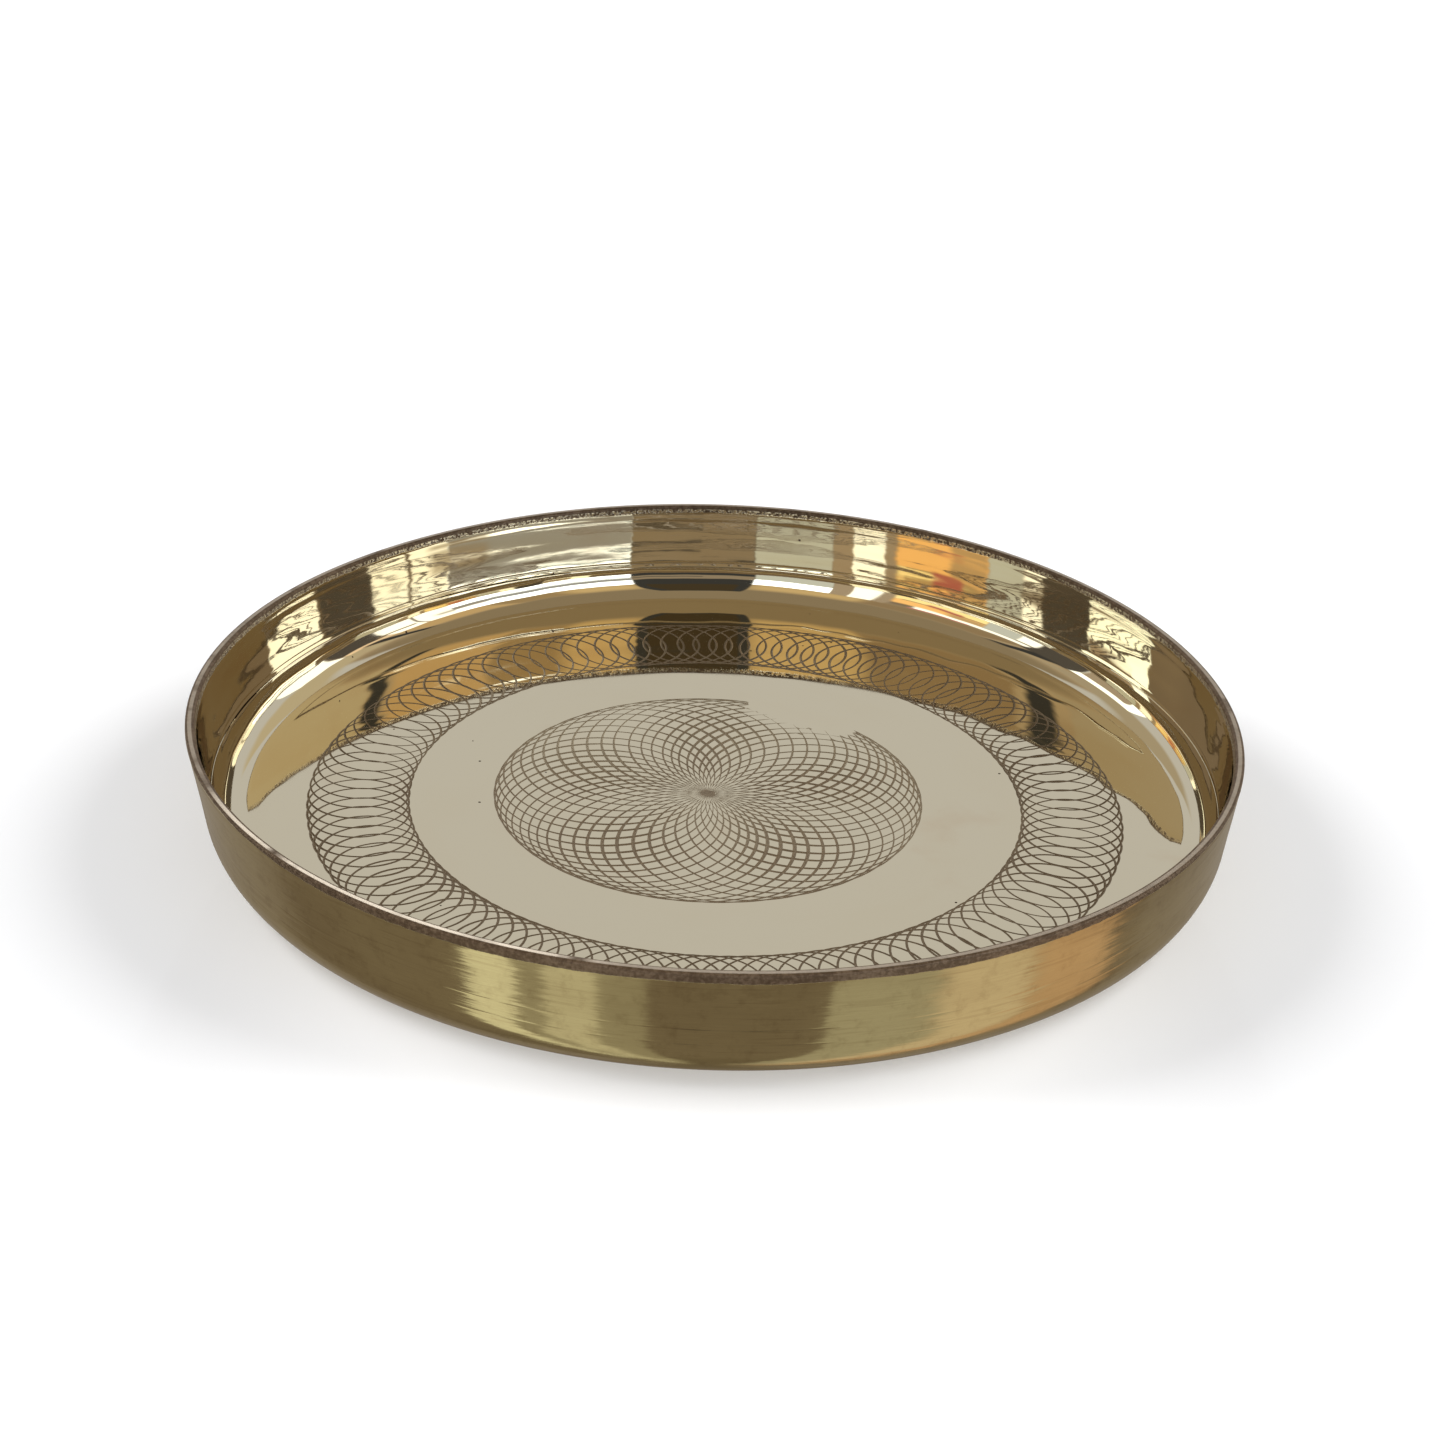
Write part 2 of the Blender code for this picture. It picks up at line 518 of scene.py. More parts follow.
class Nodes:
    """Short calls for building one node tree."""

    def __init__(self, tree):
        self.tree = tree
        tree.nodes.clear()

    def new(self, kind, **settings):
        """A node with some of its settings."""
        node = self.tree.nodes.new(kind)
        for name, value in settings.items():
            setattr(node, name, value)
        return node

    def feed(self, socket, value):
        """Links an output to a socket, or sets the socket's own value."""
        if isinstance(value, bpy.types.NodeSocket):
            self.tree.links.new(value, socket)
        else:
            socket.default_value = value

    def math(self, operation, a, b=0.0, c=0.0, clamp=False):
        """One arithmetic step."""
        node = self.new("ShaderNodeMath", operation=operation, use_clamp=clamp)
        for socket, value in zip(node.inputs, (a, b, c)):
            self.feed(socket, value)
        return node.outputs[0]

    def rise(self, value, low, high):
        """0 below low and 1 above high, with a smooth step between."""
        node = self.new("ShaderNodeMapRange", interpolation_type="SMOOTHSTEP")
        self.feed(node.inputs["Value"], value)
        node.inputs["From Min"].default_value = low
        node.inputs["From Max"].default_value = high
        return node.outputs["Result"]

    def window(self, value, low, high, soft):
        """1 between low and high, falling to 0 over soft on either side."""
        rising = self.rise(value, low - soft, low + soft)
        falling = self.rise(value, high - soft, high + soft)
        return self.math("SUBTRACT", rising, falling, clamp=True)

    def scale(self, value, low, high):
        """Maps 0..1 onto low..high."""
        return self.math("MULTIPLY_ADD", value, high - low, low)

    def mix(self, share, first, second):
        """A colour between two colours."""
        node = self.new("ShaderNodeMix", data_type="RGBA")
        self.feed(node.inputs["Factor"], share)
        self.feed(node.inputs["A"], first)
        self.feed(node.inputs["B"], second)
        return node.outputs["Result"]

    def vector(self, operation, a, b=None):
        """One step of vector arithmetic; b is the factor where the operation is SCALE."""
        node = self.new("ShaderNodeVectorMath", operation=operation)
        self.feed(node.inputs[0], a)
        if operation == "SCALE":
            self.feed(node.inputs["Scale"], b)
        elif b is not None:
            self.feed(node.inputs[1], b)
        return node.outputs[0]

    def combine(self, x, y, z):
        """A vector from three values."""
        node = self.new("ShaderNodeCombineXYZ")
        for socket, value in zip(node.inputs, (x, y, z)):
            self.feed(socket, value)
        return node.outputs[0]

    def noise(self, place, scale, detail=2.0, roughness=0.5):
        """Noise from 0 to 1."""
        node = self.new("ShaderNodeTexNoise")
        self.feed(node.inputs["Vector"], place)
        node.inputs["Scale"].default_value = scale
        node.inputs["Detail"].default_value = detail
        node.inputs["Roughness"].default_value = roughness
        return node.outputs["Fac"]


class TurnedPlace:
    """Where a point is on the turned body, for shaders: height, radius and direction round the axis."""

    def __init__(self, nodes):
        self.nodes = nodes
        self.where = nodes.new("ShaderNodeTexCoord").outputs["Object"]
        parts = nodes.new("ShaderNodeSeparateXYZ")
        nodes.feed(parts.inputs[0], self.where)
        x, y, self.height = parts.outputs
        squares = nodes.math("MULTIPLY_ADD", y, y, nodes.math("MULTIPLY", x, x))
        self.radius = nodes.math("SQRT", squares)
        safe = nodes.math("MAXIMUM", self.radius, 1e-5)
        self.across = nodes.math("DIVIDE", x, safe)
        self.along = nodes.math("DIVIDE", y, safe)
        self.from_lip = nodes.new("ShaderNodeAttribute", attribute_name=LIP_DISTANCE).outputs["Fac"]

    def streaks(self, round_scale, section_scale, seed=0.0):
        """Coordinates that change slowly round the plate and quickly across the tool's path."""
        nodes = self.nodes
        travel = nodes.math("ADD", self.radius, self.height)
        return nodes.combine(
            nodes.math("MULTIPLY_ADD", self.across, round_scale, seed),
            nodes.math("MULTIPLY", self.along, round_scale),
            nodes.math("MULTIPLY", travel, section_scale),
        )

    def tilted(self, round_tilt, section_tilt):
        """The surface normal, tipped by small signed amounts round the plate and along its section."""
        nodes = self.nodes
        straight = nodes.new("ShaderNodeNewGeometry").outputs["Normal"]
        backwards = nodes.math("MULTIPLY", self.along, -1.0)
        round_way = nodes.combine(backwards, self.across, 0.0)
        sideways = nodes.vector("SCALE", round_way, round_tilt)
        section_way = nodes.vector("CROSS_PRODUCT", round_way, straight)
        upward = nodes.vector("SCALE", section_way, section_tilt)
        tipped = nodes.vector("ADD", nodes.vector("ADD", straight, sideways), upward)
        return nodes.vector("NORMALIZE", tipped)


def new_material(name):
    """A material with an empty tree, its builder and its Principled BSDF."""
    material = bpy.data.materials.new(name)
    material.use_nodes = True
    nodes = Nodes(material.node_tree)
    shader = nodes.new("ShaderNodeBsdfPrincipled")
    output = nodes.new("ShaderNodeOutputMaterial")
    nodes.feed(output.inputs["Surface"], shader.outputs["BSDF"])
    return material, nodes, shader


# ---------------------------------------------------------------- materials

PALE_BRASS = (0.88, 0.80, 0.62, 1.0)
WARM_BRASS = (0.84, 0.73, 0.52, 1.0)
SATIN_BRASS = (0.66, 0.57, 0.34, 1.0)
TARNISH = (0.46, 0.37, 0.21, 1.0)
SKIN = (0.085, 0.054, 0.031, 1.0)
SKIN_LIGHT = (0.16, 0.11, 0.07, 1.0)
# The next colour is rubbed brass on the lip's top, made brighter than the metal as a painted highlight
COPPERY_HIGHLIGHT = (0.95, 0.83, 0.67, 1.0)
STAIN = (0.80, 0.64, 0.46, 1.0)
SPECK = (0.10, 0.07, 0.05, 1.0)
GROOVE_DARK = (0.15, 0.11, 0.07, 1.0)
GROOVE_LIGHT = (0.30, 0.23, 0.15, 1.0)
GROOVE_GREY = (0.30, 0.245, 0.165, 1.0)

# The unpolished skin over the lip: how metallic it is, how far it reaches inside and outside, how
# its two edges waver, where its inner side opens into polished gaps, and its grain
SKIN_METALLIC = 0.55
INNER_BAND = 0.0033
OUTER_BAND_SIDE = 0.0016
OUTER_BAND_FRONT = 0.0036
EDGE_MEAN = 0.0010
EDGE_WAVER = 0.0012
EDGE_RIPPLE = 0.0008
EDGE_SOFT = 0.00010
GAPS_FROM = 0.0018
GAPS_FULL = 0.0024
GAPS_SHARE = 0.8
GRAIN_SCALE = 1300.0
GRAIN_STRENGTH = 0.6
GRAIN_DISTANCE = 0.0002

# Mirror finish inside: roughness of polished, marked and raw metal, and how far small waves tip it
POLISHED = 0.025
SMUDGED = 0.06
RAW_ROUGHER = 0.45
PIT_ROUGHER = 0.4
PIT_SCALE = 75.0
PIT_SIZE = 0.030
STAIN_SHARE = 0.35
FLOOR_WAVE = 0.004
WALL_WAVE = 0.060
SIDE_WAVE_SHARE = 0.50
FLOOR_CHATTER = 0.003
WALL_CHATTER = 0.014
DENT_TILT = 0.050
BELLY_HEIGHT = 0.0205
BELLY_SOFT = 0.0015
BELLY_TILT = 0.012

# Brushed finish outside: how much each kind of dulling and the darkening towards the base add, and how far
# the brushing tips it
HAIRS_SHARE = 0.9
PATCHES_SHARE = 0.6
LOW_SHARE = 0.35
LINES_SHARE = 0.28
MOTTLE_SHARE = 0.40
BRUSHED_SMOOTH = 0.06
BRUSHED_ROUGH = 0.15
SKIN_ROUGHER = 0.20
BRUSHING = 0.97
BRUSHED_CHATTER = 0.012
BRUSHED_SCRATCH = 0.22

# Engraved lines
GROOVE_METALLIC = 0.7
GROOVE_ROUGHNESS = 0.42


def lip_band(nodes, place):
    """1 on the unpolished skin over the lip, between two wavering lines inside and outside it."""
    slow = nodes.noise(place.streaks(3.0, 0.0), 1.6, 2.0)
    fine = nodes.noise(place.streaks(45.0, 0.0), 1.0, 4.0, 0.65)
    waver = nodes.math("MULTIPLY_ADD", slow, EDGE_WAVER, nodes.math("MULTIPLY", fine, EDGE_RIPPLE))
    at_front = nodes.rise(nodes.math("MULTIPLY", place.along, -1.0), 0.45, 0.95)
    reach = nodes.scale(at_front, OUTER_BAND_SIDE + EDGE_MEAN, OUTER_BAND_FRONT + EDGE_MEAN)
    inside = nodes.math("SUBTRACT", -INNER_BAND - EDGE_MEAN, place.from_lip)
    outside = nodes.math("SUBTRACT", place.from_lip, reach)
    beyond = nodes.math("ADD", nodes.math("MAXIMUM", inside, outside), waver)
    band = nodes.math("SUBTRACT", 1.0, nodes.rise(beyond, -EDGE_SOFT, EDGE_SOFT))
    grains = nodes.noise(place.where, 1100.0, 3.0, 0.6)
    inner_face = nodes.rise(nodes.math("MULTIPLY", place.from_lip, -1.0), GAPS_FROM, GAPS_FULL)
    inner_share = nodes.math("MULTIPLY", inner_face, GAPS_SHARE)
    gaps = nodes.math("MULTIPLY", nodes.rise(grains, 0.46, 0.54), inner_share)
    return nodes.math("MULTIPLY", band, nodes.math("SUBTRACT", 1.0, gaps))


def skin_colour(nodes, place):
    """Dark cast skin with paler rubbed grains."""
    grain = nodes.noise(place.where, 900.0, 3.0, 0.65)
    patch = nodes.noise(place.where, 60.0, 2.0)
    rubbed = nodes.rise(nodes.math("MULTIPLY_ADD", patch, 0.35, grain), 0.55, 0.85)
    return nodes.mix(rubbed, SKIN, SKIN_LIGHT)


def specks(nodes, place):
    """1 on small round pits scattered over the metal."""
    cells = nodes.new("ShaderNodeTexVoronoi", feature="F1")
    nodes.feed(cells.inputs["Vector"], place.where)
    cells.inputs["Scale"].default_value = PIT_SCALE
    return nodes.math("LESS_THAN", cells.outputs["Distance"], PIT_SIZE)


def rubbed_lip_and_highlight(nodes, place):
    """1 on the lip's flat top where hands have rubbed it smooth, with a painted highlight that is
    strongest at the front left.
    """
    on_top = nodes.window(place.from_lip, -0.0005, 0.0006, 0.00012)
    towards_left = nodes.math("MULTIPLY", place.across, -0.60)
    front_left = nodes.rise(nodes.math("MULTIPLY_ADD", place.along, -0.80, towards_left), 0.86, 0.97)
    patches = nodes.noise(place.streaks(9.0, 0.0, 5.0), 1.4, 3.0)
    # Weighting towards the front left paints a highlight where the light catches the lip
    bright = nodes.math("MULTIPLY", nodes.rise(patches, 0.24, 0.50), nodes.scale(front_left, 0.30, 1.0))
    return nodes.math("MULTIPLY", on_top, bright)


def inside_metal(nodes, place, on_wall, pits):
    """Pale brass with faint warm bands round the wall, a few stains and dark pits."""
    tint = nodes.noise(place.streaks(2.0, 60.0), 1.0, 3.0)
    warmth = nodes.math("MULTIPLY", nodes.rise(tint, 0.40, 0.75), nodes.scale(on_wall, 0.15, 0.8))
    metal = nodes.mix(warmth, PALE_BRASS, WARM_BRASS)
    stained = nodes.rise(nodes.noise(place.where, 21.0, 4.0, 0.6), 0.60, 0.74)
    metal = nodes.mix(nodes.math("MULTIPLY", stained, STAIN_SHARE), metal, STAIN)
    return nodes.mix(pits, metal, SPECK)


def inside_roughness(nodes, place, band, rubbed, pits):
    """A mirror with faint smudges, rough on the raw skin and in the pits."""
    smudge = nodes.noise(place.where, 38.0, 4.0, 0.6)
    polish = nodes.scale(nodes.rise(smudge, 0.35, 0.8), POLISHED, SMUDGED)
    raw = nodes.math("SUBTRACT", band, nodes.math("MULTIPLY", rubbed, 0.7))
    rough = nodes.math("MULTIPLY_ADD", raw, RAW_ROUGHER, polish)
    return nodes.math("MULTIPLY_ADD", pits, PIT_ROUGHER, rough)


def wall_waves(nodes, place, on_wall):
    """Tilt along the section: fine waves, strongest on the wall's back, and the wall's slight belly."""
    slow = nodes.noise(place.streaks(3.0, 260.0, 2.0), 1.0, 2.0, 0.5)
    quick = nodes.noise(place.streaks(16.0, 1100.0, 4.0), 1.0, 3.0, 0.6)
    wave = nodes.math("MULTIPLY_ADD", quick, 0.45, nodes.math("SUBTRACT", slow, 0.725))
    above = nodes.rise(place.height, BELLY_HEIGHT - BELLY_SOFT, BELLY_HEIGHT + BELLY_SOFT)
    belly = nodes.scale(above, BELLY_TILT, -BELLY_TILT)
    at_back = nodes.rise(place.along, 0.55, 0.92)
    tilt = nodes.math("MULTIPLY", wave, nodes.scale(on_wall, FLOOR_WAVE, WALL_WAVE))
    tilt = nodes.math("MULTIPLY", tilt, nodes.scale(at_back, SIDE_WAVE_SHARE, 1.0))
    return nodes.math("MULTIPLY_ADD", belly, on_wall, tilt)


def floor_dents(nodes, place, on_wall):
    """Tilt from shallow dents, on the outer part of the floor only."""
    outwards = nodes.rise(place.radius, 0.50 * RIM, 0.88 * RIM)
    outer_floor = nodes.math("SUBTRACT", outwards, on_wall, clamp=True)
    dents = nodes.math("SUBTRACT", nodes.noise(place.where, 55.0, 1.0, 0.45), 0.5)
    return nodes.math("MULTIPLY", dents, nodes.math("MULTIPLY", outer_floor, DENT_TILT))


def grained(nodes, place, band, normal):
    """The normal with the raw skin's grain on the band."""
    grain = nodes.noise(place.where, GRAIN_SCALE, 3.0, 0.6)
    node = nodes.new("ShaderNodeBump")
    node.inputs["Strength"].default_value = GRAIN_STRENGTH
    node.inputs["Distance"].default_value = GRAIN_DISTANCE
    nodes.feed(node.inputs["Height"], nodes.math("MULTIPLY", grain, band))
    nodes.feed(node.inputs["Normal"], normal)
    return node.outputs["Normal"]


def inside_brass():
    """Mirror-polished brass: floor, cove and inner wall, with the unpolished band under the lip and a
    painted highlight on the lip's rubbed top.
    """
    material, nodes, shader = new_material("mirror_brass")
    place = TurnedPlace(nodes)
    on_wall = nodes.rise(place.height, BEAD_HEIGHT - 0.0005, BEAD_HEIGHT + 0.0005)
    pits = specks(nodes, place)
    band = lip_band(nodes, place)
    # The lip's rubbed top: really smoother metal, and a painted highlight in its colour
    rubbed = rubbed_lip_and_highlight(nodes, place)
    colour = nodes.mix(band, inside_metal(nodes, place, on_wall, pits), skin_colour(nodes, place))
    # Painted highlight: the rubbed top's colour turns bright coppery, most of all at the front left
    nodes.feed(shader.inputs["Base Color"], nodes.mix(rubbed, colour, COPPERY_HIGHLIGHT))
    nodes.feed(shader.inputs["Metallic"], nodes.scale(band, 1.0, SKIN_METALLIC))
    nodes.feed(shader.inputs["Roughness"], inside_roughness(nodes, place, band, rubbed, pits))
    chatter = nodes.math("SUBTRACT", nodes.noise(place.streaks(30.0, 800.0, 7.0), 1.0, 3.0, 0.6), 0.5)
    sideways = nodes.math("MULTIPLY", chatter, nodes.scale(on_wall, FLOOR_CHATTER, WALL_CHATTER))
    dents = floor_dents(nodes, place, on_wall)
    upright = nodes.math("ADD", wall_waves(nodes, place, on_wall), dents)
    normal = place.tilted(nodes.math("ADD", sideways, dents), upright)
    nodes.feed(shader.inputs["Normal"], grained(nodes, place, band, normal))
    return material


def outside_metal(nodes, place):
    """Satin brass dulled in patches, hairlines, turned lines and mottle, and darker towards the base."""
    patches = nodes.noise(place.streaks(2.4, 34.0), 1.0, 4.0, 0.55)
    hairs = nodes.noise(place.streaks(18.0, 2400.0), 1.0, 3.0, 0.7)
    dulled = nodes.math("MULTIPLY_ADD", hairs, HAIRS_SHARE, nodes.rise(patches, 0.42, 0.75))
    # Darker towards the base, where the wall turns under
    low = nodes.rise(nodes.math("MULTIPLY", place.height, -1.0), -0.010, -0.002)
    dulled = nodes.math("MULTIPLY_ADD", low, LOW_SHARE, nodes.math("MULTIPLY", dulled, PATCHES_SHARE))
    lines = nodes.rise(nodes.noise(place.streaks(6.0, 900.0, 9.0), 1.0, 2.0), 0.56, 0.68)
    mottle = nodes.rise(nodes.noise(place.where, 240.0, 4.0, 0.65), 0.48, 0.75)
    dulled = nodes.math("MULTIPLY_ADD", lines, LINES_SHARE, dulled)
    dulled = nodes.math("MULTIPLY_ADD", mottle, MOTTLE_SHARE, dulled, clamp=True)
    return nodes.mix(dulled, SATIN_BRASS, TARNISH)


def outside_brass():
    """Satin brass brushed round and round, with patchy tarnish and the dark skin below the lip."""
    material, nodes, shader = new_material("satin_brass")
    place = TurnedPlace(nodes)
    band = lip_band(nodes, place)
    colour = nodes.mix(band, outside_metal(nodes, place), skin_colour(nodes, place))
    nodes.feed(shader.inputs["Base Color"], colour)
    nodes.feed(shader.inputs["Metallic"], nodes.scale(band, 1.0, SKIN_METALLIC))
    brushed = nodes.noise(place.streaks(7.0, 260.0), 1.0, 3.0)
    rough = nodes.scale(brushed, BRUSHED_SMOOTH, BRUSHED_ROUGH)
    nodes.feed(shader.inputs["Roughness"], nodes.math("MULTIPLY_ADD", band, SKIN_ROUGHER, rough))
    shader.inputs["Anisotropic"].default_value = BRUSHING
    shader.inputs["Anisotropic Rotation"].default_value = 0.25
    tangent = nodes.new("ShaderNodeTangent", direction_type="RADIAL", axis="Z")
    nodes.feed(shader.inputs["Tangent"], tangent.outputs[0])
    chatter = nodes.math("SUBTRACT", nodes.noise(place.streaks(34.0, 700.0, 7.0), 1.0, 4.0, 0.7), 0.5)
    scratch = nodes.math("SUBTRACT", nodes.noise(place.streaks(12.0, 1500.0, 3.0), 1.0, 3.0, 0.65), 0.5)
    sideways = nodes.math("MULTIPLY", chatter, BRUSHED_CHATTER)
    normal = place.tilted(sideways, nodes.math("MULTIPLY", scratch, BRUSHED_SCRATCH))
    nodes.feed(shader.inputs["Normal"], grained(nodes, place, band, normal))
    return material


def groove_brass():
    """The raw sides of the engraved lines."""
    material, nodes, shader = new_material("engraved_brass")
    place = TurnedPlace(nodes)
    tone = nodes.noise(place.where, 420.0, 3.0, 0.6)
    worn = nodes.noise(place.where, 22.0, 2.0)
    backwards = nodes.math("MULTIPLY", place.along, nodes.math("MULTIPLY", place.radius, 1.0 / RIM))
    worn = nodes.rise(nodes.math("MULTIPLY_ADD", backwards, 0.45, worn), 0.38, 0.78)
    on_ring = nodes.rise(place.radius, 0.48 * RIM, 0.56 * RIM)
    worn = nodes.math("MULTIPLY", worn, nodes.scale(on_ring, 1.0, 0.15))
    brown = nodes.mix(tone, GROOVE_DARK, GROOVE_LIGHT)
    brown = nodes.mix(nodes.math("MULTIPLY", on_ring, 0.5), brown, GROOVE_DARK)
    nodes.feed(shader.inputs["Base Color"], nodes.mix(worn, brown, GROOVE_GREY))
    shader.inputs["Metallic"].default_value = GROOVE_METALLIC
    shader.inputs["Roughness"].default_value = GROOVE_ROUGHNESS
    return material


# ---------------------------------------------------------------- studio

# Camera: straight in front of the plate, above it, tilted slightly. The lens is as a share of the
# sensor's width.
LENS_SHARE = 1.808166
CAMERA_DISTANCE = 5.1356 * RIM
CAMERA_ELEVATION = math.radians(26.74)
CAMERA_ROLL = math.radians(2.2)
CAMERA_RIGHT = 0.0074 * RIM
CAMERA_UP = 0.1558 * RIM
SENSOR = 36.0
NEAREST_SEEN = 0.01


def make_camera():
    """The camera at the photograph's viewing angle."""
    data = bpy.data.cameras.new("camera")
    data.sensor_width = SENSOR
    data.lens = SENSOR * LENS_SHARE
    data.clip_start = NEAREST_SEEN
    camera = bpy.data.objects.new("camera", data)
    bpy.context.scene.collection.objects.link(camera)
    ahead = Vector((0.0, math.cos(CAMERA_ELEVATION), -math.sin(CAMERA_ELEVATION)))
    right = Vector((1.0, 0.0, 0.0))
    up = right.cross(ahead)
    place = -ahead * CAMERA_DISTANCE + right * CAMERA_RIGHT + up * CAMERA_UP
    turned_right = right * math.cos(CAMERA_ROLL) + up * math.sin(CAMERA_ROLL)
    turned_up = up * math.cos(CAMERA_ROLL) - right * math.sin(CAMERA_ROLL)
    axes = Matrix((turned_right, turned_up, -ahead)).transposed()
    camera.matrix_world = Matrix.Translation(place) @ axes.to_4x4()
    bpy.context.scene.camera = camera


# The floor, a light from either side for the shadow, and one in front that keeps it off the middle
GROUND_SIZE = 3.0
GROUND_GAP = 0.0001
GROUND_COLOUR = (0.8, 0.8, 0.8, 1.0)
GROUND_ROUGHNESS = 0.9
GROUND_GLOW = 0.14
SIDE_LIGHT = 3.5
SIDE_LIGHT_SPREAD = math.radians(48.0)
SIDE_LIGHT_ELEVATION = math.radians(26.0)
SIDE_LIGHT_AZIMUTH = math.radians(70.0)
FRONT_LIGHT = 25.0
FRONT_LIGHT_PLACE = Vector((0.0, -1.0, 0.50))
FRONT_LIGHT_AIM = Vector((0.0, -0.20, 0.0))
FRONT_LIGHT_CONE = math.radians(16.5)


def make_ground():
    """A plain pale floor, lit a little from within so that shadows on it stay light."""
    size = GROUND_SIZE
    mesh = bpy.data.meshes.new("ground")
    corners = [(-size, -size, 0.0), (size, -size, 0.0), (size, size, 0.0), (-size, size, 0.0)]
    mesh.from_pydata(corners, [], [(0, 1, 2, 3)])
    ground = bpy.data.objects.new("ground", mesh)
    bpy.context.scene.collection.objects.link(ground)
    material, nodes, shader = new_material("pale_ground")
    shader.inputs["Base Color"].default_value = GROUND_COLOUR
    shader.inputs["Roughness"].default_value = GROUND_ROUGHNESS
    shader.inputs["Specular IOR Level"].default_value = 0.0
    shader.inputs["Emission Color"].default_value = BACKDROP
    shader.inputs["Emission Strength"].default_value = GROUND_GLOW
    mesh.materials.append(material)
    ground.location.z = -GROUND_GAP
    ground.visible_glossy = False


# What the metal mirrors: first the colours of the room and its panels
ROOM_BEHIND = (0.555, 0.550, 0.535, 1.0)
ROOM_HIGH = (0.27, 0.215, 0.14, 1.0)
ROOM_EAVES = (0.45, 0.36, 0.24, 1.0)
ROOM_LOW = (0.21, 0.165, 0.12, 1.0)
ROOM_BELOW = (0.24, 0.20, 0.15, 1.0)
ROOM_UNDER = (0.21, 0.175, 0.125, 1.0)
DAYLIGHT = (1.55, 1.60, 1.55, 1.0)
DAYLIGHT_RIGHT = (1.70, 1.85, 1.80, 1.0)
GLARE = (2.6, 2.9, 3.3, 1.0)
SHADE = (0.37, 0.38, 0.40, 1.0)
CREAM = (0.62, 0.66, 0.64, 1.0)
DARK = (0.09, 0.080, 0.07, 1.0)
BLACK = (0.045, 0.045, 0.045, 1.0)
FIGURE = (0.30, 0.245, 0.18, 1.0)
FIGURE_HIGH = (0.060, 0.045, 0.026, 1.0)
LAMPLIGHT = (1.15, 0.68, 0.26, 1.0)
LAMPLIGHT_LOW = (1.3, 1.05, 0.50, 1.0)
RED = (0.50, 0.12, 0.11, 1.0)
PINK = (0.62, 0.24, 0.24, 1.0)
EMBER = (0.95, 0.74, 0.50, 1.0)
AMBER = (0.62, 0.42, 0.21, 1.0)
TEAL = (0.10, 0.14, 0.15, 1.0)
BROWN = (0.34, 0.26, 0.16, 1.0)
UMBER = (0.20, 0.13, 0.07, 1.0)
TAN = (0.42, 0.34, 0.25, 1.0)
EAVES_LEFT = (0.36, 0.26, 0.14, 1.0)
EAVES_LEFT_BRIGHT = (0.58, 0.41, 0.21, 1.0)
EAVES_RIGHT = (0.30, 0.22, 0.13, 1.0)
EAVES_NEAR = (0.64, 0.475, 0.24, 1.0)
EAVES_FAR_LEFT = (0.52, 0.45, 0.31, 1.0)
EAVES_FAR_RIGHT = (0.41, 0.35, 0.25, 1.0)
ROOM_DEEP = (0.20, 0.16, 0.11, 1.0)
CORNER_SHADE = (0.11, 0.080, 0.058, 1.0)
FLOOR_BRIGHT = (0.95, 0.95, 0.76, 1.0)
FLOOR_PALE = (0.72, 0.70, 0.55, 1.0)
FLOOR_MID = (0.40, 0.37, 0.28, 1.0)
FLOOR_GREY = (0.50, 0.48, 0.38, 1.0)
FLOOR_WARM = (0.80, 0.69, 0.52, 1.0)
FLOOR_ORANGE = (0.72, 0.50, 0.32, 1.0)
FLOOR_SIDE = (0.31, 0.27, 0.22, 1.0)

